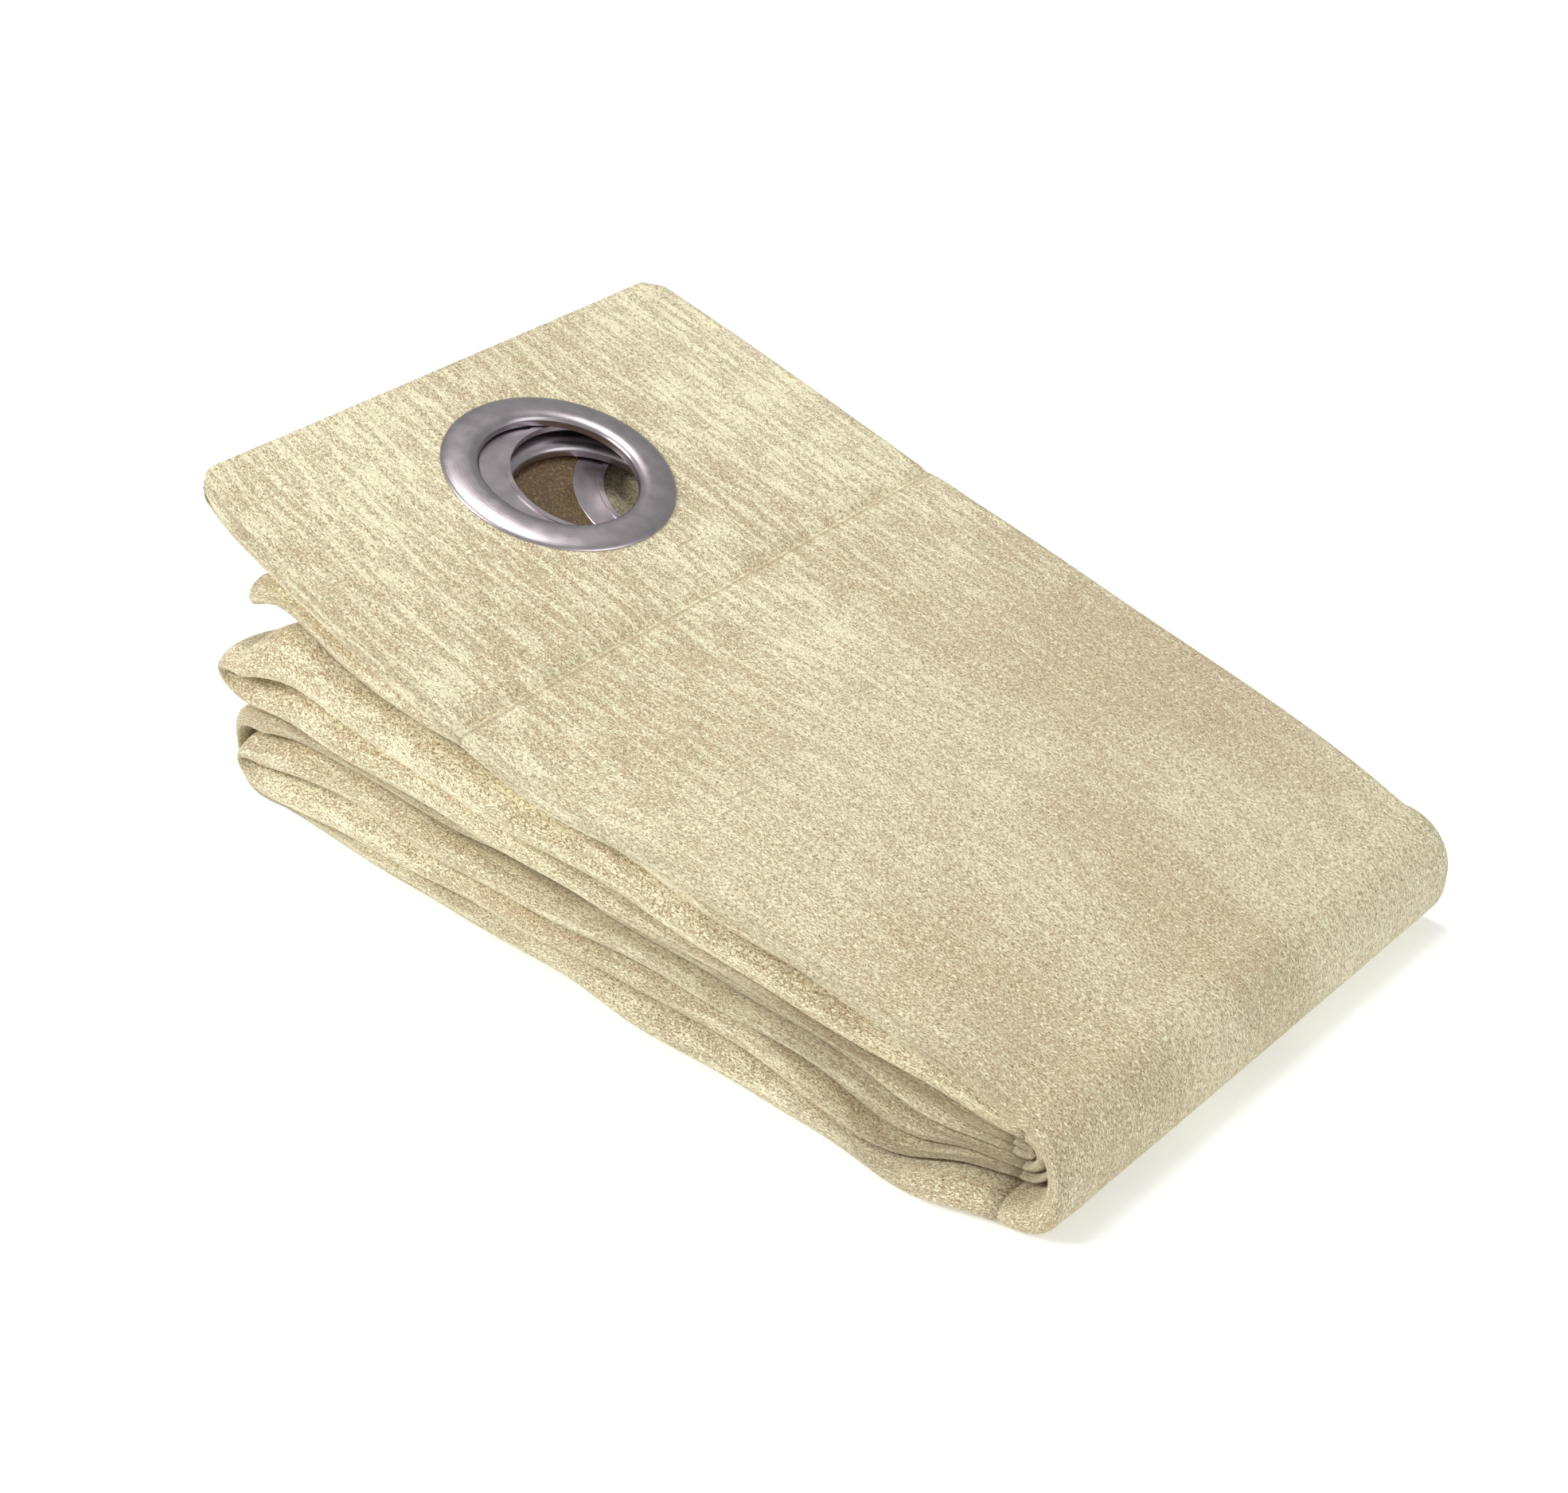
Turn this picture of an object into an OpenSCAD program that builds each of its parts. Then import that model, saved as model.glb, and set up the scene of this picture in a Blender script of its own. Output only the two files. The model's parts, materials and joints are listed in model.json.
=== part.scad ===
// Eyelet curtain panel, folded into a package: eight layers across, then eight strips along.
// +X runs from the header edge to the right-hand turns, +Y from the near edge to the far edge,
// +Z is up. The origin is on the table, under the middle of the package.

/* [Panel] */
// Finished width of the curtain panel
panel_w = 1320; // [1000:10:1600]
// Finished length of the panel, from the header edge to the hem
panel_l = 2130; // [1800:10:2700]
// Depth of the header, from its top edge to the header seam
header_depth = 98.5; // [85:0.5:130]
// Depth of the bottom hem, from its edge to the hem seam
hem_depth = 45; // [25:1:80]

/* [Cloth] */
// Thickness of the header where it holds an eyelet: two cloths and the tape
header_t = 0.8; // [0.6:0.05:1.2]
// Thickness of the stiffening tape inside the header
tape_t = 0.25; // [0.15:0.05:0.4]
// Width of the stiffening tape
tape_w = 84; // [70:1:84]
// Radius of the header's near corner
corner_r = 6; // [2:0.5:12]

/* [Eyelet] */
// Diameter of the hole that the rod goes through
bore_d = 41; // [34:0.5:44]
// Outer diameter of the front ring
ring_d = 60; // [52:0.5:66]
// Outer diameter of the back ring
back_d = 57; // [50:0.5:62]
// Height of the front ring's crown above the cloth
crown_h = 1.5; // [1:0.1:2]
// Thickness of the back ring
back_t = 0.4; // [0.3:0.05:0.8]
// Wall of the barrel that joins the front ring to the back ring
barrel_t = 0.7; // [0.5:0.05:1]
// Distance from the header edge to the centre of an eyelet
eyelet_set = 46.7; // [42:0.1:56]
// How far each eyelet lies off the strip's centre line, top layer first, along X and Y
eyelet_off = [[0, -2], [3, 6], [5.5, 3], [14, 28.5], [-3, -16], [2, 1], [0, 3], [0, 0]];

/* [Package] */
// Height of the package at the right-hand turns
turn_h = 28; // [24:1:40]
// Height of each strip under the header leaf at its left end, lowest strip first
rise = [9.5, 11.5, 8.5, 8, 5, 5, 4.5];
// Distance from the header edge's plane to the tips of the left-hand noses
nose_set = 7.5; // [4:0.5:15]
// Length of a nose, from its tip to the end of its strips
nose_l = 8.5; // [6:0.5:12]
// Distance from the header edge's plane to the free hem edge
hem_set = 20; // [17:0.5:30]
// Height of the header seam above the table
seam_h = 68; // [66:0.5:80]
// Slope of the header from the seam up to the header edge, in degrees
header_pitch = 19.26; // [15:0.01:22]
// Slope of the header from the near edge up to the far edge, in degrees
header_roll = 2.4; // [0:0.1:3]
// Thickness of the header leaf just past the seam
seam_t = 7; // [5:0.5:10]

/* [Hidden] */
$fn = 96;

// The panel is folded in half three times each way, so both counts are eight.
layers = 8;
strips = 8;
strip_w = panel_w / layers;
strip_l = panel_l / strips;
cloth_gap = 0.3;   // clearance between two strips
stack_gap = 0.3;   // clearance between two eyelets in the stack
slip = 0.05;       // clearance round a barrel
overlap = 1;       // how far a leaf runs into the block that it grows from

// The right-hand turns are nested half rings about one line, which is the hinge.
turn_r = turn_h / 2;
turn_pitch = turn_r / (strips / 2);
fold_ease = 2.26;  // length of cloth that the end creases take up
package_l = strip_l - (PI / 2 - 1) * turn_r - fold_ease;
turn_x = package_l / 2 - turn_r;
turn_eye = 0.6;    // radius of the hollow inside the innermost turn
nose_x = -package_l / 2 + nose_set + nose_l;
hem_x = -package_l / 2 + hem_set;

// Height of boundary k between two strips at station x: k = 0 is the table.
function sum_to(k) = k == 0 ? 0 : rise[k - 1] + sum_to(k - 1);
function level(k, x) =
    let (s = (x - nose_x) / (turn_x - nose_x))
    (1 - s) * sum_to(k) + s * k * turn_pitch;

// The header lies in its own tilted plane: its frame starts on the seam, on the top face.
seam_x = -package_l / 2 + header_depth * cos(header_pitch);
curl_h = 0.3;      // barrel's curled lip under the back ring
back_h = back_t + curl_h;
pair_h = 2 * (header_t + back_h + crown_h + stack_gap);
// Underside of leaf i: even leaves lie face up, odd ones face down.
function leaf_z(i) =
    -header_t - floor(i / 2) * pair_h - (i % 2) * (header_t + 2 * back_h + stack_gap);
function leaf_left(i) = -header_depth - leaf_z(i) * tan(header_pitch);
function eyelet_pos(i) = [leaf_left(i) + eyelet_set + eyelet_off[i][0], eyelet_off[i][1]];
// The leaves come together in a block near the seam, the upper ones nearest to it.
block_top = 2;
block_low = -12;
block_right = 22;
function block_left(i) = block_top + (block_low - block_top) * i / (layers - 1);
// Slope of the run from the seam down to the turn, measured in the header's own frame.
run_pitch = atan((seam_h - turn_h) / (turn_x - seam_x));
run_rise = tan(header_pitch - run_pitch);

cloth_tan = "#D2BE94";
cloth_light = "#DCCB9F";
nickel = "#A9A3AB";
tape_white = "#EFEBDD";
thread_gold = "#B59A62";

module across(w = strip_w) {
    rotate([90, 0, 0])
        linear_extrude(w, center = true)
            children();
}

module header_frame() {
    translate([seam_x, 0, seam_h])
        rotate([header_roll, 0, 0])
            rotate([0, header_pitch, 0])
                children();
}

// A flat strip of eight layers between boundaries k and k + 1, from station left to the turns.
module strip(k, left) {
    right = turn_x - cloth_gap;
    half = cloth_gap / 2;
    low = k == 0 ? 0 : half;
    across() polygon([
        [left, level(k, left) + low],
        [right, level(k, right) + low],
        [right, level(k + 1, right) - half],
        [left, level(k + 1, left) - half]
    ]);
}

// One nested half ring of cloth at the right-hand end, ring 0 being the outermost.
module turn(ring) {
    outer = turn_r - ring * turn_pitch - (ring == 0 ? 0 : cloth_gap / 2);
    inner = max(turn_r - (ring + 1) * turn_pitch + cloth_gap / 2, turn_eye);
    translate([turn_x, 0, turn_r]) across() intersection() {
        difference() {
            circle(outer);
            circle(inner);
        }
        translate([0, -turn_r]) square([turn_r, turn_h]);
    }
}

// A round nose that joins strips k and k + 1 at their left ends.
module nose(k) {
    low = level(k, nose_x) + cloth_gap / 2;
    high = level(k + 2, nose_x) - cloth_gap / 2;
    r = (high - low) / 2;
    depth = min(r, nose_l - (k == 1 ? turn_pitch + cloth_gap : 0));
    wide = (r * r + depth * depth) / (2 * depth);
    translate([nose_x - cloth_gap / 2, 0, low + r]) across() intersection() {
        translate([wide - depth, 0]) circle(wide);
        translate([-depth, -r]) square([depth, 2 * r]);
    }
}

// The outer nose wraps the inner one and joins the base strip to the fourth boundary's strip.
module nose_wrap() {
    high = level(4, nose_x) - cloth_gap / 2;
    low_in = level(1, nose_x) - cloth_gap / 2;
    high_in = level(3, nose_x) + cloth_gap / 2;
    end = nose_x - cloth_gap / 2;
    wall = turn_pitch;
    round_r = min(high / 4, nose_l / 2);
    across() difference() {
        union() {
            translate([end - nose_l + round_r, 0]) square([nose_l - round_r, high]);
            translate([end - nose_l, round_r]) square([nose_l, high - 2 * round_r]);
            translate([end - nose_l + round_r, round_r]) circle(round_r);
            translate([end - nose_l + round_r, high - round_r]) circle(round_r);
        }
        translate([end - nose_l + wall, low_in]) square([nose_l, high_in - low_in]);
    }
}

// Plan of one header leaf with its near corner rounded, starting at the header edge.
module leaf_plan(length) {
    difference() {
        translate([0, -strip_w / 2]) square([length, strip_w]);
        translate([0, -strip_w / 2]) difference() {
            square(corner_r);
            translate([corner_r, corner_r]) circle(corner_r);
        }
    }
}

// One layer of the header: doubled cloth with a pocket for the tape and a hole for the eyelet.
module header_leaf(i) {
    left = leaf_left(i);
    pocket_t = tape_t + slip;
    difference() {
        translate([left, 0, leaf_z(i)])
            linear_extrude(header_t)
                leaf_plan(block_left(i) + overlap - left);
        tape_space(i, pocket_t, slip);
        translate([eyelet_pos(i)[0], eyelet_pos(i)[1], leaf_z(i) - 1])
            cylinder(r = bore_d / 2 + barrel_t + slip, h = header_t + 2);
    }
}

// Room for the tape in leaf i, open at the far edge where the side hem closes it.
tape_end = 3;
module tape_space(i, thick, ease) {
    mid = leaf_z(i) + header_t / 2;
    translate([leaf_left(i) + tape_end - ease, tape_end - strip_w / 2 - ease, mid - thick / 2])
        cube([min(tape_w, block_left(i) - leaf_left(i) - 2 * tape_end) + 2 * ease, strip_w, thick]);
}

// The header: eight leaves, and the block in which they meet just short of the run.
module header_leaves() {
    color(cloth_light) header_frame() {
        for (i = [0 : layers - 1]) header_leaf(i);
        across() polygon([
            [0, 0],
            [block_left(0), 0],
            [block_left(layers - 1), leaf_z(layers - 1)],
            [block_right, block_right * run_rise - seam_t],
            [block_right, block_right * run_rise]
        ]);
    }
}

// The run of the top strip, from the header's block down to the outer turn.
module strip_top() {
    right = turn_x - cloth_gap;
    color(cloth_light) difference() {
        across() polygon([
            [seam_x, seam_h],
            [seam_x, seam_h - seam_t],
            [right, turn_h - turn_pitch + cloth_gap / 2],
            [right, turn_h]
        ]);
        header_frame()
            translate([block_right + cloth_gap - package_l, -strip_w, -package_l / 2])
                cube([package_l, 2 * strip_w, package_l]);
    }
}

module strip_hem() color(cloth_tan) strip(6, hem_x);
module strip_third() color(cloth_light) strip(5, nose_x);
module strip_fourth() color(cloth_tan) strip(4, nose_x);
module strip_fifth() color(cloth_light) strip(3, nose_x);
module strip_sixth() color(cloth_tan) strip(2, nose_x);
module strip_seventh() color(cloth_light) strip(1, nose_x);
module strip_base() color(cloth_tan) strip(0, nose_x);

module nose_upper() color(cloth_light) nose(4);
module nose_inner() color(cloth_tan) nose(1);
module nose_outer() color(cloth_light) nose_wrap();

module turn_outer() color(cloth_light) turn(0);
module turn_second() color(cloth_tan) turn(1);
module turn_third() color(cloth_light) turn(2);
module turn_inner() color(cloth_tan) turn(3);

// The stiffening tape, folded with the header: one flat length in each layer.
module header_tape() {
    color(tape_white) header_frame() for (i = [0 : layers - 1]) difference() {
        intersection() {
            tape_space(i, tape_t, 0);
            translate([-2 * header_depth, -strip_w / 2, -2 * seam_h])
                cube([4 * header_depth, strip_w - tape_end, 4 * seam_h]);
        }
        translate([eyelet_pos(i)[0], eyelet_pos(i)[1], leaf_z(i) - 1])
            cylinder(r = bore_d / 2 + barrel_t + slip, h = header_t + 2);
    }
}

thread_w = 0.8;
thread_h = 0.25;

// The row of stitches that closes the header, on the outer layer.
module header_seam_thread() {
    color(thread_gold) header_frame()
        translate([-thread_w / 2 - overlap, overlap - strip_w / 2, 0])
            cube([thread_w, strip_w - 2 * overlap, thread_h]);
}

// The row of stitches that closes the bottom hem, on the outer layer of its strip.
module hem_seam_thread() {
    x = hem_x + hem_depth;
    slope = atan((level(7, hem_x) - level(7, turn_x)) / (turn_x - hem_x));
    color(thread_gold)
        translate([x, 0, level(7, x) - cloth_gap / 2])
            rotate([0, slope, 0])
                translate([0, overlap - strip_w / 2, 0])
                    cube([thread_w, strip_w - 2 * overlap, thread_h]);
}

// Front ring: a domed crown, steep into the bore and shallow to the rim, with its barrel.
crest_r = bore_d / 2 + 3;
module front_ring() {
    bore_r = bore_d / 2;
    ring_r = ring_d / 2;
    barrel_r = bore_r + barrel_t;
    end = -header_t - back_t;
    inner_crown = [for (a = [0 : 9 : 90]) [crest_r - (crest_r - bore_r) * cos(a), crown_h * sin(a)]];
    outer_crown = [for (a = [81 : -9 : 0]) [crest_r + (ring_r - crest_r) * cos(a), crown_h * sin(a)]];
    barrel = [
        [barrel_r, 0],
        [barrel_r, end],
        [barrel_r + barrel_t, end],
        [barrel_r + barrel_t, end - curl_h],
        [bore_r, end - curl_h]
    ];
    rotate_extrude() polygon(concat(inner_crown, outer_crown, barrel));
}

// Back ring: a flat washer with a chamfered rim, held by the curled end of the barrel.
module back_ring() {
    inner = bore_d / 2 + barrel_t + slip;
    rim = back_t / 2;
    rotate_extrude() polygon([
        [inner, -header_t],
        [back_d / 2 - rim, -header_t],
        [back_d / 2, -header_t - rim],
        [back_d / 2 - rim, -header_t - back_t],
        [inner, -header_t - back_t]
    ]);
}

// Puts a ring on leaf i: face up on even leaves, turned over on odd ones.
module on_leaf(i) {
    header_frame()
        translate([eyelet_pos(i)[0], eyelet_pos(i)[1], leaf_z(i) + (i % 2 == 0 ? header_t : 0)])
            rotate([i % 2 == 0 ? 0 : 180, 0, 0])
                children();
}

module eyelet_front(i) color(nickel) on_leaf(i) front_ring();
module eyelet_back(i) color(nickel) on_leaf(i) back_ring();

header_leaves();
strip_top();
strip_hem();
strip_third();
strip_fourth();
strip_fifth();
strip_sixth();
strip_seventh();
strip_base();
nose_upper();
nose_inner();
nose_outer();
turn_outer();
turn_second();
turn_third();
turn_inner();
header_tape();
header_seam_thread();
hem_seam_thread();
eyelet_front(0);  // eyelet_front_1
eyelet_front(1);  // eyelet_front_2
eyelet_front(2);  // eyelet_front_3
eyelet_front(3);  // eyelet_front_4
eyelet_front(4);  // eyelet_front_5
eyelet_front(5);  // eyelet_front_6
eyelet_front(6);  // eyelet_front_7
eyelet_front(7);  // eyelet_front_8
eyelet_back(0);  // eyelet_back_1
eyelet_back(1);  // eyelet_back_2
eyelet_back(2);  // eyelet_back_3
eyelet_back(3);  // eyelet_back_4
eyelet_back(4);  // eyelet_back_5
eyelet_back(5);  // eyelet_back_6
eyelet_back(6);  // eyelet_back_7
eyelet_back(7);  // eyelet_back_8
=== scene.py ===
"""An eyelet curtain panel, folded into the flat package that it is sold in."""
import json

import bpy
import numpy as np
from mathutils import Matrix, Vector


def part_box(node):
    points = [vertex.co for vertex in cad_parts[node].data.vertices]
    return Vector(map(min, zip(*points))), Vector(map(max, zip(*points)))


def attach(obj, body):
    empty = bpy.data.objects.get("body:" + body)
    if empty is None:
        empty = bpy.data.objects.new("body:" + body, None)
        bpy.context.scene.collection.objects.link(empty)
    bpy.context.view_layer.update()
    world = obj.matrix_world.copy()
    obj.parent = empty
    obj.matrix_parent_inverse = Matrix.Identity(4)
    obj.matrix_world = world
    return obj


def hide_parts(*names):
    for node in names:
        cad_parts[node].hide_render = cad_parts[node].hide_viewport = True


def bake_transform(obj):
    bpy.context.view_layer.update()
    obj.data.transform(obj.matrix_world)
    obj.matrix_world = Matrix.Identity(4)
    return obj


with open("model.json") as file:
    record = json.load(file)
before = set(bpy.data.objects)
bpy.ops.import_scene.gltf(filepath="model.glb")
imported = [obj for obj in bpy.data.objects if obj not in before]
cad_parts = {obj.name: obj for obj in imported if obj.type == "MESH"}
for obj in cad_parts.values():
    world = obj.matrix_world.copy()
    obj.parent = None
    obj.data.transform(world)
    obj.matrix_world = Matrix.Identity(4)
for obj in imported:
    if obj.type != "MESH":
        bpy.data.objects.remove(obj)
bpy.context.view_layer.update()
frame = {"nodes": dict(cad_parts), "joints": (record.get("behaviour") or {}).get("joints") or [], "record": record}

# ---------------------------------------------------------------------------
# Camera: it stands a little above the package, off its near left corner, and
# looks down on the header and along the near edge of the folds.
# ---------------------------------------------------------------------------
azimuth = np.radians(38.70)
elevation = np.radians(28.72)
tilt = np.radians(1.20)
level_away = Vector((np.sin(azimuth), -np.cos(azimuth), 0))
backward = level_away * np.cos(elevation) + Vector((0, 0, np.sin(elevation)))
level_right = Vector((np.cos(azimuth), np.sin(azimuth), 0))
level_up = backward.cross(level_right)
right = level_right * np.cos(tilt) + level_up * np.sin(tilt)
up = level_up * np.cos(tilt) - level_right * np.sin(tilt)

camera_data = bpy.data.cameras.new("camera")
camera_data.lens = 63.23
camera_data.sensor_width = 36
camera_data.clip_start = 0.01
camera = bpy.data.objects.new("camera", camera_data)
camera.matrix_world = Matrix((
    (right.x, up.x, backward.x, 0.3578),
    (right.y, up.y, backward.y, -0.4619),
    (right.z, up.z, backward.z, 0.3560),
    (0, 0, 0, 1),
))
bpy.context.scene.collection.objects.link(camera)
bpy.context.scene.camera = camera

# ---------------------------------------------------------------------------
# Studio: a white sweep that glows a little like a light table, a large soft
# light from the near left, one overhead, and a weak one off the right-hand end.
# ---------------------------------------------------------------------------
def plain_material(name, colour, roughness):
    material = bpy.data.materials.new(name)
    material.use_nodes = True
    shader = material.node_tree.nodes["Principled BSDF"]
    shader.inputs["Base Color"].default_value = (*colour, 1)
    shader.inputs["Roughness"].default_value = roughness
    return material


floor_mesh = bpy.data.meshes.new("sweep")
floor_half = 3
floor_level = -0.0006
floor_signs = [(-1, -1), (1, -1), (1, 1), (-1, 1)]
floor_corners = [(x * floor_half, y * floor_half, floor_level) for x, y in floor_signs]
floor_mesh.from_pydata(floor_corners, [], [(0, 1, 2, 3)])
sweep_white = plain_material("sweep_white", (0.94, 0.95, 0.945), 0.9)
sweep_white.node_tree.nodes["Principled BSDF"].inputs["Emission Color"].default_value = (0.97, 1.0, 0.985, 1)
sweep_white.node_tree.nodes["Principled BSDF"].inputs["Emission Strength"].default_value = 0.30
floor_mesh.materials.append(sweep_white)
sweep = bpy.data.objects.new("sweep", floor_mesh)
bpy.context.scene.collection.objects.link(sweep)


def soft_light(name, place, size, power, colour):
    light = bpy.data.lights.new(name, "AREA")
    light.shape = "SQUARE"
    light.size = size
    light.energy = power
    light.color = colour
    lamp = bpy.data.objects.new(name, light)
    lamp.location = place
    aim = Vector((0, 0, 0.04)) - Vector(place)
    lamp.rotation_euler = aim.to_track_quat("-Z", "Y").to_euler()
    bpy.context.scene.collection.objects.link(lamp)


soft_light("near_light", (-0.72, -1.20, 1.02), 0.6, 21, (1, 0.99, 0.97))
soft_light("top_light", (-0.20, 0.12, 1.45), 0.55, 9, (1, 0.99, 0.97))
soft_light("end_light", (1.35, 0.15, 0.75), 0.9, 6, (0.98, 1, 1))

world = bpy.data.worlds.new("studio_air")
world.use_nodes = True
world.node_tree.nodes["Background"].inputs["Color"].default_value = (0.97, 1.0, 0.985, 1)
world.node_tree.nodes["Background"].inputs["Strength"].default_value = 0.38
bpy.context.scene.world = world
bpy.context.scene.view_settings.view_transform = "Standard"

# ---------------------------------------------------------------------------
# The panel: one length of crinkled jacquard satin with a champagne ground and
# flecks of pale shiny yarn. It is folded in half three times across its width,
# so every strip of the package is eight layers thick.
# ---------------------------------------------------------------------------
mm = 0.001
panel_width = 1.320
layers = 8
# Place of each eighth of the width in the pile of layers, 0 being the side that faces up on the top strip.
place_in_pile = [7, 0, 3, 4, 5, 2, 1, 6]
# Samples across an eighth of the width: the one that faces outwards shows, so it is the finest.
flat_samples = {0: 64, 7: 22}


def width_fold():
    """One column of the sheet after another, from one side hem to the other. For each it gives the
    distance across the sheet, how far it lies from the near edge (0) to the far edge (1), how far it
    stands out in the near and in the far lip, how deep it lies in the pile, and its layer."""
    eighth = panel_width / layers
    spreads = [abs(a - b) / layers for a, b in zip(place_in_pile[:-1], place_in_pile[1:])]
    # How much of an eighth each crease takes up; there is none at the two side hems.
    crease = [0.0] + [0.012 + 0.075 * spread for spread in spreads] + [0.0]
    columns = []
    for i, place in enumerate(place_in_pile):
        samples = flat_samples.get(place, 30)
        depth = (place + 0.5) / layers
        start, end = i + crease[i] / 2, i + 1 - crease[i + 1] / 2
        for j in range(samples + 1):
            run = j / samples
            # The samples gather towards both edges, where the cloth turns over.
            eased = run - 0.10 * np.sin(2 * np.pi * run)
            across = 1 - eased if i % 2 == 0 else eased
            columns.append((eighth * (start + (end - start) * eased), across, 0.0, 0.0, depth, place))
        if i == layers - 1:
            break
        # The crease to the next eighth: half an ellipse, wider where it closes round inner creases.
        next_depth = (place_in_pile[i + 1] + 0.5) / layers
        spread = abs(depth - next_depth)
        turns = 17 if spread > 0.8 else 7
        for j in range(1, turns):
            angle = np.pi * j / turns
            stands_out = np.sin(angle) * spread / (0.875 if i % 2 == 0 else 0.375)
            level = (depth + next_depth) / 2 + (depth - next_depth) / 2 * np.cos(angle)
            near, far = (stands_out, 0.0) if i % 2 == 0 else (0.0, stands_out)
            columns.append((eighth * (end + crease[i + 1] * j / turns), i % 2, near, far, level, place))
    return [np.array(values) for values in zip(*columns)]


sheet_across, side, near_lip, far_lip, depth, layer = width_fold()


def smooth(value, start, end):
    """0 before start, 1 after end, with an easy slope between them."""
    t = np.clip((value - start) / (end - start), 0, 1)
    return t * t * (3 - 2 * t)


def curve(stations, values, x):
    """A smooth curve through a few given points."""
    stations = np.asarray(stations, float)
    values = np.asarray(values, float)
    slopes = np.gradient(values, stations)
    x = np.clip(x, stations[0], stations[-1])
    i = np.clip(np.searchsorted(stations, x) - 1, 0, len(stations) - 2)
    gap = stations[i + 1] - stations[i]
    t = (x - stations[i]) / gap
    return (
        values[i] * (2 * t**3 - 3 * t**2 + 1)
        + values[i + 1] * (3 * t**2 - 2 * t**3)
        + gap * slopes[i] * (t**3 - 2 * t**2 + t)
        + gap * slopes[i + 1] * (t**3 - t**2)
    )


# ---------------------------------------------------------------------------
# The eight strips: the folded width is then folded in half three times along
# its length. The pile is a wedge, high at the eyelets and low at the turns.
# ---------------------------------------------------------------------------
hinge_x, _, turn_radius = frame["joints"][0]["pos_m"]
turn_pitch = turn_radius / 4
cloth_thick = 0.36 * mm
nose_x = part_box("strip_fifth")[0].x
hem_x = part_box("strip_hem")[0].x

# Tops of the seven lower strips in the middle of the package, at the noses.
strip_nodes = ["strip_base", "strip_seventh", "strip_sixth", "strip_fifth",
               "strip_fourth", "strip_third", "strip_hem"]
pile_heights = [0.0] + [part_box(node)[1].z for node in strip_nodes]

# Height of each gap between two strips on the near edge, where the folds stand open, lowest gap first.
edge_stations = [-120, -98, -80, -60, 0, 60, 88, 102, 114]
edge_heights = [
    [9.8, 7.2, 6.2, 5.0, 2.4, 0.4, 0, 0, 0],
    [12, 11.4, 12, 10.6, 10.3, 7.6, 3.8, 7.6, 7.0],
    [21.6, 23.8, 23.4, 21.2, 17.5, 13.2, 5.9, 9.2, 9.8],
    [30, 34.4, 32.8, 29.6, 23.4, 16.8, 10.5, 11.2, 11.5],
    [38.3, 38, 35.8, 33, 27.6, 20.4, 16.2, 14.6, 14],
    [47, 50, 47.2, 44, 34, 23, 18.2, 16.6, 15.6],
    [51, 66.5, 59.6, 55.4, 45, 31.5, 26.5, 23.8, 21.8],
    [62, 73, 68, 64, 51.5, 37, 31, 27.5, 24.5],
]


def gap_height(k, x, across):
    """Height of the gap under strip k, at station x and from the near edge (0) to the far edge (1)."""
    share = np.clip((x - nose_x) / (hinge_x - nose_x), -0.1, 1)
    middle = (1 - share) * pile_heights[k] + share * k * turn_pitch
    edge = curve(edge_stations, edge_heights[k], x / mm) * mm
    near = 1 - smooth(across, 0.0, 0.30)
    far = 0.55 * smooth(across, 0.72, 1.0)
    return middle + (edge - middle) * (near + far)


# Where the near and far edges of each strip lie, lowest strip first.
near_stations = [-120, -40, 20, 70, 96, 114]
near_edges = [
    [-75.5, -78.5, -83, -86, -88.3, -85],
    [-79.5, -80.5, -81, -83.5, -82, -77.5],
    [-81.5, -82, -80.5, -79.5, -78.5, -76.5],
    [-82.5, -77, -76.5, -76.5, -76, -75.5],
    [-82.5, -82, -80, -78, -77, -75.5],
    [-85, -85, -81.5, -78.5, -77.5, -76.5],
    [-81, -80.5, -80, -78, -78, -77],
]
far_stations = [-120, 0, 114]
far_edges = [
    [79, 82, 82],
    [81, 80, 81.5],
    [80, 82.5, 81],
    [82, 80.5, 82],
    [80, 82, 81],
    [82, 83.5, 82],
    [80, 81, 81],
]


def place_across(k, x, thick):
    """Where the columns of strip k lie across the package: flat between a lip at each edge."""
    near = curve(near_stations, near_edges[k], x / mm) * mm
    far = curve(far_stations, far_edges[k], x / mm) * mm
    near_depth = np.clip(0.55 * thick, 1.6 * mm, 6.5 * mm)
    far_depth = np.clip(0.25 * thick, 0.8 * mm, 3 * mm)
    flat = near + near_depth + side * (far - far_depth - near - near_depth)
    return flat - near_lip * near_depth + far_lip * far_depth


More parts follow.
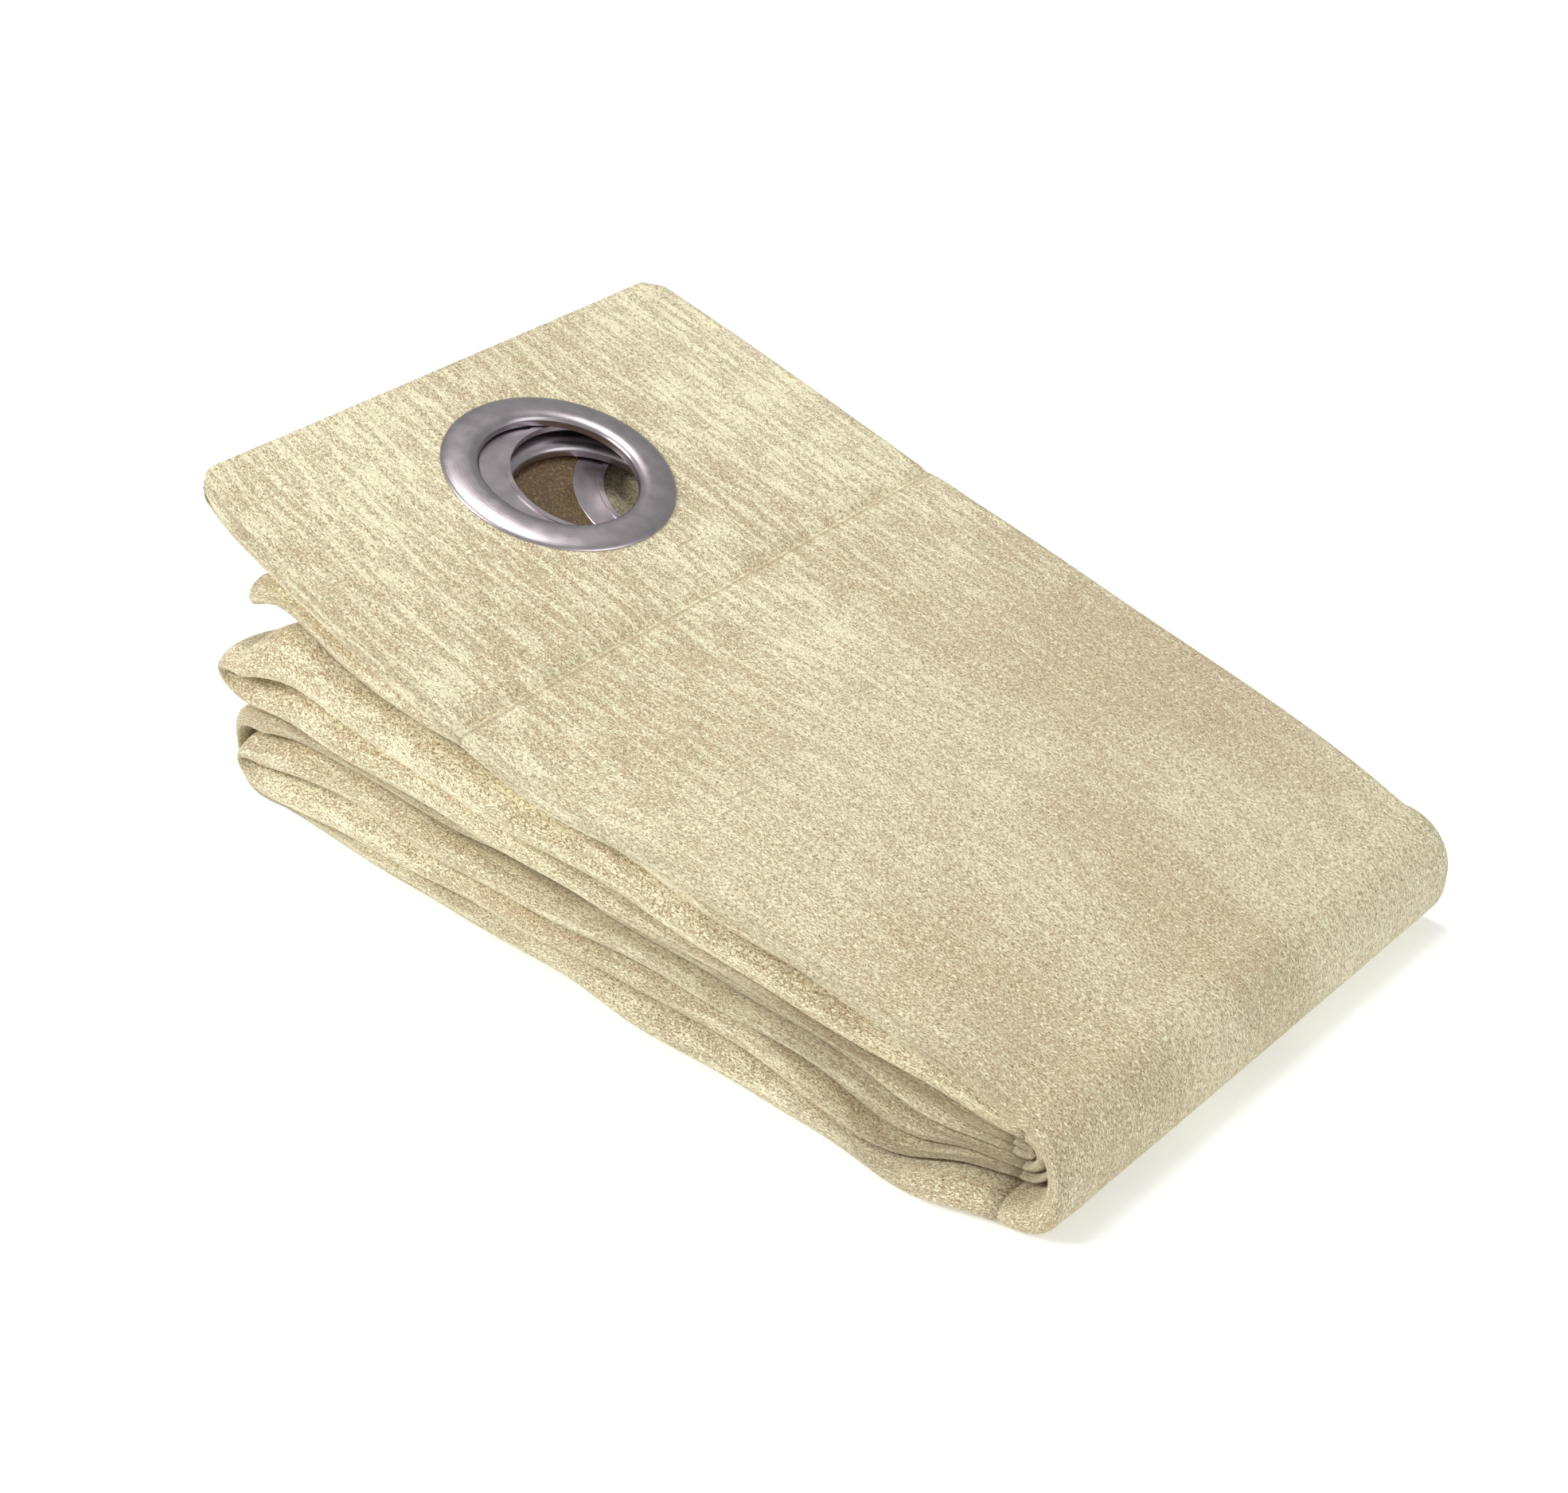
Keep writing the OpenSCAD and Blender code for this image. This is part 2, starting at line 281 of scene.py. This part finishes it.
def strip_row(k, x):
    """One row of the sheet across strip k at station x. Odd strips lie with the face of the cloth up."""
    low = gap_height(k, x, side)
    high = gap_height(k + 1, x, side)
    if k == 1:
        # The second strip stands clear of the base strip beside the turns and leaves a dark mouth there.
        mouth = np.minimum(2.6 * mm, 0.45 * (high - low)) * (1 - smooth(side, 0.0, 0.18))
        low = low + mouth * smooth(x, 76 * mm, 98 * mm)
    if k == 6:
        # The hem end stands clear of the nose under it.
        free_end = 9.5 * mm * (1 - smooth(x, -118 * mm, -90 * mm)) * (1 - smooth(side, 0.0, 0.35))
        low, high = low + free_end, high + 0.9 * free_end
    # The edges of two strips do not quite touch.
    parted = np.minimum(0.35 * mm, 0.15 * (high - low)) * (1 - smooth(side, 0.0, 0.05))
    low, high = low + parted, high - parted
    share = 1 - depth if k % 2 else depth
    height = low + (high - low) * share
    thick = float(gap_height(k + 1, x, 0.0) - gap_height(k, x, 0.0))
    # A lip is fullest below its middle, where the cloth hangs over, and it is never quite straight.
    lean = near_lip * (high - low) * 0.10
    sway = 0.7 * mm * np.sin(x / (13 * mm) + 2.1 * k) + 0.5 * mm * np.sin(x / (7.3 * mm) + 4.7 * k)
    across = place_across(k, x, thick) - sway * near_lip * smooth(hinge_x - x, 0, 20 * mm)
    return np.full(len(side), x), across, height - lean


def turn_row(upper, lower, angle):
    """A row of a right-hand turn, which carries the cloth from the upper strip round to the lower one."""
    _, y_high, z_high = upper
    _, y_low, z_low = lower
    share = angle / np.pi
    radius = (z_high - turn_radius) * (1 - share) + (turn_radius - z_low) * share
    # The outer turn rests on the table, so its lower half is squarer than a circle.
    square = 1.0 if angle < np.pi / 2 else 1 - 0.32 * smooth(radius, 8 * mm, 14 * mm)
    x = hinge_x + radius * abs(np.sin(angle)) ** square
    z = turn_radius + radius * np.sign(np.cos(angle)) * np.abs(np.cos(angle)) ** square
    return x, y_high * (1 - share) + y_low * share, z


def nose_row(k_high, k_low, angle, reach, square=1.0):
    """A row of the left-hand nose between two strips, from the lower one (0) round to the upper one (pi)."""
    _, y_high, z_high = strip_row(k_high, nose_x)
    _, y_low, z_low = strip_row(k_low, nose_x)
    middle = (gap_height(k_high, nose_x, side) + gap_height(k_low + 1, nose_x, side)) / 2
    share = angle / np.pi
    rise = -np.cos(angle)
    size = np.abs(rise) ** square
    z = middle + size * ((z_high - middle) if rise > 0 else (z_low - middle))
    return nose_x - reach * abs(np.sin(angle)) ** square, y_high * share + y_low * (1 - share), z


def row_distances(rows, start=0.0):
    """Distance of each row along the sheet, from the mean step between rows."""
    points = np.array([np.stack(row, axis=1) for row in rows])
    steps = np.linalg.norm(np.diff(points, axis=0), axis=2).mean(axis=1)
    return start + np.concatenate([[0], np.cumsum(steps)])


def make_cloth(name, rows, start, cut=None):
    """Joins the rows into one sheet, whose UVs are its own flat coordinates in metres."""
    points = np.array([np.stack(row, axis=1) for row in rows])
    n_rows, n_columns, _ = points.shape
    corner = np.arange(n_rows * n_columns).reshape(n_rows, n_columns)
    faces = np.stack([corner[:-1, :-1], corner[1:, :-1], corner[1:, 1:], corner[:-1, 1:]], axis=-1)
    faces = faces.reshape(-1, 4)
    if cut is not None:
        faces = faces[~cut.reshape(-1)]
    along = row_distances(rows, start)
    flat = np.stack(np.broadcast_arrays(sheet_across[None, :], along[:, None]), axis=-1).reshape(-1, 2)
    mesh = bpy.data.meshes.new(name)
    mesh.from_pydata(points.reshape(-1, 3).tolist(), [], faces.tolist())
    uv = mesh.uv_layers.new(name="sheet")
    corners = np.zeros(len(mesh.loops), np.int32)
    mesh.loops.foreach_get("vertex_index", corners)
    uv.data.foreach_set("uv", flat[corners].astype(np.float32).reshape(-1))
    mesh.polygons.foreach_set("use_smooth", np.ones(len(mesh.polygons), bool))
    mesh.materials.append(jacquard)
    # The back face of the sheet gets the reverse, which is darkened with painted shade.
    mesh.materials.append(reverse_with_painted_shade)
    cloth = bpy.data.objects.new(name, mesh)
    bpy.context.scene.collection.objects.link(cloth)
    return cloth


def thicken(cloth, rows, single, doubled):
    """Gives the sheet its thickness. doubled holds the thickness of each row that is a hem, by its number."""
    thickest = max([single, *doubled.values()])
    group = cloth.vertex_groups.new(name="thickness")
    columns = len(side)
    for row in range(rows):
        share = doubled.get(row, single) / thickest
        group.add(list(range(row * columns, (row + 1) * columns)), share, "REPLACE")
    solid = cloth.modifiers.new("thickness", "SOLIDIFY")
    solid.thickness = thickest
    solid.offset = 0
    solid.material_offset = 1
    solid.vertex_group = "thickness"
    with bpy.context.temp_override(object=cloth, active_object=cloth, selected_objects=[cloth]):
        bpy.ops.object.modifier_apply(modifier=solid.name)
    cloth.vertex_groups.clear()
    # The cut ends are flat faces, so that no shade shows where one length joins the next.
    row_of = np.arange(len(cloth.data.vertices)) % (rows * columns) // columns
    for face in cloth.data.polygons:
        if len({row_of[v] for v in face.vertices}) == 1:
            face.use_smooth = False


def lay_cloth(name, rows, start, nodes, body=None, doubled={}, cut=None):
    """Lays one length of the panel and gives its end. It rides a body, or else it is left unattached where it
    lies."""
    cloth = make_cloth(name, rows, start, cut)
    thicken(cloth, len(rows), cloth_thick, doubled)
    if body:
        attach(cloth, body)
    else:
        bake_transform(cloth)
    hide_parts(*nodes)
    length = row_distances(rows)[-1]
    return start + length


def turn_rows(k_from, k_to, steps):
    """A whole right-hand turn, from one strip to the other."""
    high, low = strip_row(max(k_from, k_to), hinge_x), strip_row(min(k_from, k_to), hinge_x)
    rows = [turn_row(high, low, np.pi * i / steps) for i in range(steps + 1)]
    return rows if k_from > k_to else rows[::-1]


def between(start, end, steps):
    return [start + (end - start) * i / steps for i in range(steps + 1)]


# Jacquard satin: a champagne ground, flecks of a pale shiny yarn that run along the panel and
# gather in streaks, and a fine crinkle all over.
ground = (0.68, 0.540, 0.345)
ground_deep = (0.29, 0.190, 0.080)
fleck_pale = (0.97, 0.905, 0.64)

jacquard = bpy.data.materials.new("jacquard_satin")
jacquard.use_nodes = True
tree = jacquard.node_tree
satin = tree.nodes["Principled BSDF"]
satin.inputs["Specular IOR Level"].default_value = 0.35
satin.inputs["Sheen Weight"].default_value = 0.25
satin.inputs["Sheen Roughness"].default_value = 0.4
satin.inputs["Sheen Tint"].default_value = (1.0, 0.93, 0.74, 1)


def thread_noise(across_size, along_size, detail, roughness=0.6, distortion=0.0):
    """Noise on the flat sheet whose grains have these sizes across and along it, in metres."""
    sheet = tree.nodes.new("ShaderNodeUVMap")
    sheet.uv_map = "sheet"
    scale = tree.nodes.new("ShaderNodeVectorMath")
    scale.operation = "MULTIPLY"
    scale.inputs[1].default_value = (1 / across_size, 1 / along_size, 1)
    noise = tree.nodes.new("ShaderNodeTexNoise")
    noise.noise_dimensions = "2D"
    noise.inputs["Scale"].default_value = 1
    noise.inputs["Detail"].default_value = detail
    noise.inputs["Roughness"].default_value = roughness
    noise.inputs["Distortion"].default_value = distortion
    tree.links.new(sheet.outputs["UV"], scale.inputs[0])
    tree.links.new(scale.outputs["Vector"], noise.inputs["Vector"])
    return noise.outputs["Fac"]


def maths(operation, first, second):
    node = tree.nodes.new("ShaderNodeMath")
    node.operation = operation
    for i, value in enumerate((first, second)):
        if isinstance(value, (int, float)):
            node.inputs[i].default_value = value
        else:
            tree.links.new(value, node.inputs[i])
    return node.outputs[0]


def from_to(value, low, high, new_low=0.0, new_high=1.0):
    node = tree.nodes.new("ShaderNodeMapRange")
    node.interpolation_type = "SMOOTHSTEP"
    node.inputs["From Min"].default_value = low
    node.inputs["From Max"].default_value = high
    node.inputs["To Min"].default_value = new_low
    node.inputs["To Max"].default_value = new_high
    tree.links.new(value, node.inputs["Value"])
    return node.outputs["Result"]


def tint(share, first, second):
    node = tree.nodes.new("ShaderNodeMix")
    node.data_type = "RGBA"
    for value, socket in ((first, node.inputs["A"]), (second, node.inputs["B"])):
        if isinstance(value, tuple):
            socket.default_value = (*value, 1)
        else:
            tree.links.new(value, socket)
    tree.links.new(share, node.inputs["Factor"])
    return node.outputs["Result"]


streaks = thread_noise(0.0019, 0.015, 3)
drift = thread_noise(0.060, 0.110, 1)
flecks = thread_noise(0.00030, 0.00085, 2, 0.7, 0.8)
crinkle = thread_noise(0.00026, 0.00050, 1, 0.5, 0.8)
# The pale streaks are thickest on the header. The run after it has few flecks until past the right-hand bend,
# where they come back. This is partly the cloth's pattern and partly painted light and shade: painted light
# brightens the header, and painted shade darkens the run over the shoulder of the bend.
sheet = tree.nodes.new("ShaderNodeUVMap")
sheet.uv_map = "sheet"
apart = tree.nodes.new("ShaderNodeSeparateXYZ")
tree.links.new(sheet.outputs["UV"], apart.inputs["Vector"])
along = apart.outputs["Y"]
streak_amount_with_painted_shade = maths("ADD", from_to(along, 0.08, 0.19, 1.0, 0.42), from_to(along, 0.30, 0.34, 0.0, 0.25))
streaks_with_painted_shade = maths("MULTIPLY", from_to(streaks, 0.40, 0.66, 0.0, 0.68), streak_amount_with_painted_shade)
fleck_density_and_painted_light = maths("ADD", streaks_with_painted_shade, from_to(drift, 0.35, 0.65, -0.16, 0.16))
# More flecks on the header: partly the pattern, partly painted light that brightens the header.
fleck_density_and_painted_light = maths("ADD", fleck_density_and_painted_light, from_to(along, 0.07, 0.20, 0.20, 0.13))
lift = maths("ADD", flecks, maths("MULTIPLY", fleck_density_and_painted_light, 0.17))
fleck_share = from_to(lift, 0.515, 0.575)
base = tint(from_to(crinkle, 0.40, 0.54), ground_deep, ground)
cloth_colour = tint(maths("MULTIPLY", fleck_share, 0.92), base, fleck_pale)
# The header seam draws the cloth in; a thin line of painted shade darkens the cloth along the stitches.
from_seam = maths("ABSOLUTE", maths("SUBTRACT", along, 0.0985), 0)
cloth_colour = tint(from_to(from_seam, 0.0001, 0.0010, 0.42, 0.0), cloth_colour, ground_deep)
tree.links.new(cloth_colour, satin.inputs["Base Color"])
tree.links.new(from_to(fleck_share, 0.0, 1.0, 0.58, 0.36), satin.inputs["Roughness"])
relief = tree.nodes.new("ShaderNodeBump")
relief.inputs["Strength"].default_value = 0.8
relief.inputs["Distance"].default_value = 0.00028
tree.links.new(maths("ADD", fleck_share, maths("MULTIPLY", crinkle, 1.2)), relief.inputs["Height"])
tree.links.new(relief.outputs["Normal"], satin.inputs["Normal"])

# The reverse of the cloth, painted dark: partly its own dark ground yarns, which float there while hardly any of
# the pale yarn shows, and partly painted shade that darkens the leaves seen down the eyelet holes.
reverse_with_painted_shade = bpy.data.materials.new("jacquard_reverse_painted_shade")
reverse_with_painted_shade.use_nodes = True
tree = reverse_with_painted_shade.node_tree
floats = thread_noise(0.00030, 0.00085, 2, 0.7, 0.8)
tree.links.new(tint(from_to(floats, 0.52, 0.66), (0.085, 0.048, 0.020), (0.27, 0.18, 0.075)),
               tree.nodes["Principled BSDF"].inputs["Base Color"])
tree.nodes["Principled BSDF"].inputs["Roughness"].default_value = 0.6

# ---------------------------------------------------------------------------
# Top strip: the header with its eight eyelets, then the run down to the
# right-hand turn. The header is two cloths with stiffening tape between, so
# its leaves lie flat round the eyelets and pinch together at the edges.
# ---------------------------------------------------------------------------
header_depth = 98.5 * mm
header_thick = 0.74 * mm
seam_height = 68 * mm
leaf_pair = 6.6 * mm
leaf_turned = 2.5 * mm
header_up = Vector(next(m for m in frame["record"]["mounts"] if m["name"] == "rod_eyelet")["axis"])
header_pitch = np.arcsin(header_up.x)
header_roll = np.arctan2(-header_up.y, header_up.z)
seam = Vector((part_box("header_leaves")[0].x + header_depth * np.cos(header_pitch), 0, seam_height))
header_along = Vector((np.cos(header_pitch), np.sin(header_pitch) * np.sin(header_roll),
                       -np.sin(header_pitch) * np.cos(header_roll)))
header_across = header_up.cross(header_along)
run_slope = (seam_height - 2 * turn_radius) / (hinge_x - seam.x)
edge_thick = 3.2 * mm

top_near_stations = [-128, -110, -85, -60, -35, -10, 20, 60, 95, 114]
top_near_edge = [-83, -86, -88, -89.2, -88.8, -88, -85.5, -84.5, -84, -83]
top_far_stations = [-128, -80, -30, 25, 80, 100, 114]
top_far_edge = [83, 85.5, 87, 88.5, 88.5, 86, 83]

leaf_depth = 0.4 * mm + (layer // 2) * leaf_pair + (layer % 2) * leaf_turned
eyelets = []
for i in range(layers):
    low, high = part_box(f"eyelet_front_{i + 1}")
    centre = (low + high) / 2 - seam
    eyelets.append((centre.dot(header_along), centre.dot(header_across)))
eyelet_x = np.array([eyelets[i][0] for i in layer])
eyelet_y = np.array([eyelets[i][1] for i in layer])
rim = 31.5 * mm
leaf_opening = 24.5 * mm


def top_row(x):
    """A row of the top strip. x is its station on the cloth's top face, and lower leaves start further in."""
    near = curve(top_near_stations, top_near_edge, x / mm) * mm
    far = curve(top_far_stations, top_far_edge, x / mm) * mm
    lip = 2.6 * mm
    y = near + lip + side * (far - near - 2 * lip) - near_lip * lip + far_lip * 0.7 * lip
    # Depth under the top face: spread by the eyelets in the header, close together in the run.
    along = (x - seam.x) / np.cos(header_pitch)
    block_start = (2 - 2 * layer) * mm
    to_run = smooth(along, block_start, 24 * mm)
    run_thick = 7 * mm + (turn_pitch - 7 * mm) * smooth(x, seam.x, hinge_x - 10 * mm)
    at_edge = np.maximum(1 - smooth(y, near + lip, eyelet_y - rim), smooth(y, eyelet_y + rim, far - lip))
    at_end = 0.45 * (1 - smooth(along, -header_depth, eyelet_x - rim))
    at_edge = np.maximum(at_edge, at_end)
    edge_run = edge_thick + (turn_pitch - edge_thick) * smooth(x, 40 * mm, hinge_x)
    down = leaf_depth + (run_thick * depth - leaf_depth) * to_run
    down = down + (edge_run * depth - down) * at_edge
    # The header edge is cut square, and its near corner is rounded.
    to_edge = np.clip((seam.x - x) / (header_depth * np.cos(header_pitch)), 0, 1)
    shift = down * np.tan(header_pitch) * to_edge
    corner = np.clip((9 * mm - (y - near)) / (9 * mm), 0, 1)
    shift = shift + 9 * mm * (1 - np.sqrt(1 - np.clip(corner, 0, 0.999) ** 2)) * to_edge**8
    corner = np.clip((6 * mm - (far - y)) / (6 * mm), 0, 1)
    shift = shift + 6 * mm * corner * to_edge**8
    # The top face: the header's plane, and past the seam a straight run down to the turn.
    header_share = 1 - smooth(x, seam.x, 75 * mm)
    steep = np.arctan(run_slope)
    past_seam = smooth(x, seam.x, seam.x + 20 * mm)
    pitch = header_pitch if x < seam.x else steep + (header_pitch - steep) * (1 - past_seam)
    pitch = pitch * (1 - smooth(x, 60 * mm, hinge_x))
    height = seam.z - (x - seam.x) * (np.tan(header_pitch) if x < seam.x else run_slope)
    height = height + y * np.tan(header_roll) * header_share
    near_share = 1 - smooth(y, near, near + 42 * mm)
    droop = 2.6 * mm * np.exp(-(((x + 10 * mm) / (20 * mm)) ** 2)) * near_share
    crown = 0.9 * mm * smooth(x, -20 * mm, 30 * mm) * (1 - smooth(x, 80 * mm, hinge_x))
    crown = crown * (1 - smooth(np.abs(y), 50 * mm, 88 * mm))
    valley = 1.2 * mm * np.exp(-((along / (1.4 * mm)) ** 2))
    valley = valley - 0.6 * mm * np.exp(-(((along - 8 * mm) / (5 * mm)) ** 2))
    valley = valley * (1 - depth) ** 4
    shoulder = 3 * mm * np.exp(-(((x - 98 * mm) / (13 * mm)) ** 2)) * (1 - smooth(y, near, near + 30 * mm))
    height = height - droop + crown - valley + shoulder
    z = height - down * np.cos(pitch) - shift * np.tan(header_pitch) * to_edge
    return x + shift - down * np.sin(pitch), y, z


header_rows = between(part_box("header_leaves")[0].x + 0.2 * mm, seam.x - 6 * mm, 44)
seam_rows = between(seam.x - 5 * mm, seam.x + 5 * mm, 16)
run_rows = between(seam.x + 7 * mm, hinge_x, 56)
top_rows = [top_row(x) for x in header_rows + seam_rows + run_rows]

# Each leaf of the header is open under its eyelet.
points = np.array([np.stack(row, axis=1) for row in top_rows])
local_x = (points - np.array(seam)) @ np.array(header_along) - eyelet_x
local_y = (points - np.array(seam)) @ np.array(header_across) - eyelet_y
distance = np.hypot(local_x, local_y)
distance[len(header_rows):] = 1
face_distance = (distance[:-1, :-1] + distance[1:, 1:] + distance[:-1, 1:] + distance[1:, :-1]) / 4
open_faces = face_distance < leaf_opening

# The strip and its turn are one length, so that no join shows on the bend.
outer_turn = [turn_row(top_rows[-1], strip_row(0, hinge_x), np.pi * i / 26) for i in range(1, 27)]
rows = top_rows + outer_turn
header = {row: header_thick for row in range(len(header_rows) + len(seam_rows) // 2 + 1)}
uncut = np.zeros((len(outer_turn), open_faces.shape[1]), bool)
laid = lay_cloth("panel_top", rows, 0.0, ["header_leaves", "strip_top", "turn_outer"],
                 doubled=header, cut=np.vstack([open_faces, uncut]))

# ---------------------------------------------------------------------------
# The other seven strips: each length of cloth keeps to one half of the package
# and goes round a left-hand nose, and the turns at the right join the lengths.
# ---------------------------------------------------------------------------
strip_stations = between(nose_x, hinge_x, 56)
turn_lead = 3.2 * mm
lead_stations = between(nose_x, hinge_x - turn_lead, 55)

# From the outer turn: the base strip, the outer nose, and the fourth strip from the bottom.
rows = [strip_row(0, x) for x in between(hinge_x, nose_x, 50)]
rows += [nose_row(3, 0, np.pi * i / 18, (12.6 - 2.0 * depth) * mm, 0.62) for i in range(1, 19)]
rows += [strip_row(3, x) for x in lead_stations[1:]]
laid = lay_cloth("panel_base", rows, laid, ["strip_base", "nose_outer", "strip_fifth"], "lower_half")

# The innermost turn, with the ends of its two strips.
rows = [strip_row(3, hinge_x - turn_lead)] + turn_rows(3, 4, 12) + [strip_row(4, hinge_x - turn_lead)]
laid = lay_cloth("panel_turn_inner", rows, laid, ["turn_inner"])

# The fifth strip, the upper nose and the sixth strip.
rows = [strip_row(4, x) for x in lead_stations[::-1]]
rows += [nose_row(5, 4, np.pi * i / 16, (10.5 - 2.6 * depth) * mm) for i in range(1, 17)]
rows += [strip_row(5, x) for x in strip_stations[1:]]
laid = lay_cloth("panel_upper_nose", rows, laid, ["strip_fourth", "nose_upper", "strip_third"], "upper_half")
laid = lay_cloth("panel_turn_third", turn_rows(5, 2, 16), laid, ["turn_third"])

# The third strip, the inner nose and the second strip.
rows = [strip_row(2, x) for x in strip_stations[::-1]]
rows += [nose_row(2, 1, np.pi - np.pi * i / 12, (7.4 + 2.6 * depth) * mm) for i in range(1, 13)]
rows += [strip_row(1, x) for x in strip_stations[1:]]
laid = lay_cloth("panel_lower_nose", rows, laid, ["strip_sixth", "nose_inner", "strip_seventh"], "lower_half")
laid = lay_cloth("panel_turn_second", turn_rows(1, 6, 20), laid, ["turn_second"])

# The seventh strip, which ends in the bottom hem.
hem_depth = 45 * mm
hem_thick = 0.7 * mm
hem_stations = between(hinge_x, hem_x - 3.5 * mm, 54)
rows = [strip_row(6, x) for x in hem_stations]
hem = {i: hem_thick for i, x in enumerate(hem_stations) if x < hem_x + hem_depth}
lay_cloth("panel_hem_end", rows, laid, ["strip_hem"], "upper_half", doubled=hem)

# ---------------------------------------------------------------------------
# Eyelets: pressed steel rings, satin nickel plated. The front ring's barrel
# passes through the cloth and is curled over the back ring.
# ---------------------------------------------------------------------------
nickel = bpy.data.materials.new("satin_nickel")
nickel.use_nodes = True
tree = nickel.node_tree
plate = tree.nodes["Principled BSDF"]
plate.inputs["Metallic"].default_value = 1.0
place = tree.nodes.new("ShaderNodeTexCoord")
rubbed = tree.nodes.new("ShaderNodeTexNoise")
rubbed.inputs["Scale"].default_value = 260
rubbed.inputs["Detail"].default_value = 3
tree.links.new(place.outputs["Object"], rubbed.inputs["Vector"])
tree.links.new(from_to(rubbed.outputs["Fac"], 0.3, 0.7, 0.30, 0.36), plate.inputs["Roughness"])
tree.links.new(tint(from_to(rubbed.outputs["Fac"], 0.3, 0.7), (0.455, 0.405, 0.432), (0.485, 0.435, 0.462)),
               plate.inputs["Base Color"])
for i in range(layers):
    for kind in ("front", "back"):
        ring = frame["nodes"][f"eyelet_{kind}_{i + 1}"]
        ring.data.materials.clear()
        ring.data.materials.append(nickel)

# ---------------------------------------------------------------------------
# Stiffening tape: a white woven strip inside the header, between the two
# cloths. It keeps the header flat and the eyelets in line.
# ---------------------------------------------------------------------------
tape = bpy.data.materials.new("stiffening_tape")
tape.use_nodes = True
tree = tape.node_tree
place = tree.nodes.new("ShaderNodeTexCoord")
weave = tree.nodes.new("ShaderNodeTexNoise")
weave.inputs["Scale"].default_value = 1500
tree.links.new(place.outputs["Object"], weave.inputs["Vector"])
tree.links.new(tint(weave.outputs["Fac"], (0.80, 0.77, 0.68), (0.88, 0.86, 0.78)),
               tree.nodes["Principled BSDF"].inputs["Base Color"])
tree.nodes["Principled BSDF"].inputs["Roughness"].default_value = 0.85
tape_inset = 3 * mm
tape_opening = 27.5 * mm
tape_holes = np.hypot(local_x + tape_inset / np.cos(header_pitch), local_y) < tape_opening
vertices, faces = [], []
for i in range(layers):
    flat = (layer == i) & (near_lip == 0) & (far_lip == 0) & (side > 0.03) & (side < 0.97)
    for row in range(1, len(header_rows) - 1):
        x, y, z = (values[flat] for values in top_rows[row])
        start = len(vertices)
        vertices += zip(x + tape_inset, y, z - tape_inset * np.tan(header_pitch))
        if row > 1:
            pierced = (tape_holes[row - 1] | tape_holes[row])[flat]
            pierced = pierced[:-1] | pierced[1:]
            for j in np.flatnonzero(~pierced):
                below = start - len(x) + j
                faces.append((below, start + j, start + j + 1, below + 1))
mesh = bpy.data.meshes.new("stiffening_tape")
mesh.from_pydata(vertices, [], faces)
mesh.polygons.foreach_set("use_smooth", np.ones(len(mesh.polygons), bool))
mesh.materials.append(tape)
stiffening = bpy.data.objects.new("stiffening_tape", mesh)
bpy.context.scene.collection.objects.link(stiffening)
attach(stiffening, "upper_half")
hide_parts("header_tape")

# ---------------------------------------------------------------------------
# Threads: one row of lock stitches closes the header and one the bottom hem.
# Each stitch is a short loop of spun polyester, pulled down into the cloth.
# ---------------------------------------------------------------------------
thread = bpy.data.materials.new("spun_thread")
thread.use_nodes = True
tree = thread.node_tree
place = tree.nodes.new("ShaderNodeTexCoord")
twist = tree.nodes.new("ShaderNodeTexNoise")
twist.inputs["Scale"].default_value = 2500
tree.links.new(place.outputs["Object"], twist.inputs["Vector"])
tree.links.new(tint(twist.outputs["Fac"], (0.45, 0.32, 0.15), (0.60, 0.46, 0.25)),
               tree.nodes["Principled BSDF"].inputs["Base Color"])
tree.nodes["Principled BSDF"].inputs["Roughness"].default_value = 0.6


def stitch_row(name, surface, start, end, node):
    """A row of stitches across a strip. surface(y) gives the top face of the cloth under the row."""
    stitch, gap, radius = 2.6 * mm, 0.7 * mm, 0.17 * mm
    vertices, faces = [], []
    y = start
    while y + stitch < end:
        for j in range(9):
            share = j / 8
            bulge = 0.12 * mm * np.sin(np.pi * share) - 0.08 * mm
            centre = surface(y + stitch * share) + Vector((0, 0, bulge))
            thin = radius * (0.35 + 0.65 * np.sin(np.pi * share) ** 0.5)
            for k in range(6):
                angle = np.pi * k / 3
                vertices.append(centre + Vector((thin * np.cos(angle), 0, thin * np.sin(angle))))
            if j:
                for k in range(6):
                    a = len(vertices) - 12 + k
                    b = len(vertices) - 12 + (k + 1) % 6
                    faces.append((a, b, b + 6, a + 6))
        y += stitch + gap
    mesh = bpy.data.meshes.new(name)
    mesh.from_pydata([tuple(v) for v in vertices], [], faces)
    mesh.polygons.foreach_set("use_smooth", np.ones(len(mesh.polygons), bool))
    mesh.materials.append(thread)
    stitches = bpy.data.objects.new(name, mesh)
    bpy.context.scene.collection.objects.link(stitches)
    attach(stitches, "upper_half")
    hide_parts(node)


def on_row(row, lift):
    """The outer face of a row, as a function of the distance across."""
    x, y, z = row
    facing = layer == (0 if lift > 0 else 7)
    facing = facing & (near_lip == 0) & (far_lip == 0)
    order = np.argsort(y[facing])
    ys, xs, zs = y[facing][order], x[facing][order], z[facing][order]
    return lambda at: Vector((np.interp(at, ys, xs), at, np.interp(at, ys, zs) + abs(lift)))


stitch_row("header_stitches", on_row(top_row(seam.x), 0.30 * mm), -84 * mm, 84 * mm, "header_seam_thread")
hem_seam = strip_row(6, hem_x + hem_depth)
stitch_row("hem_stitches", on_row(hem_seam, -0.30 * mm), -74 * mm, 77 * mm, "hem_seam_thread")
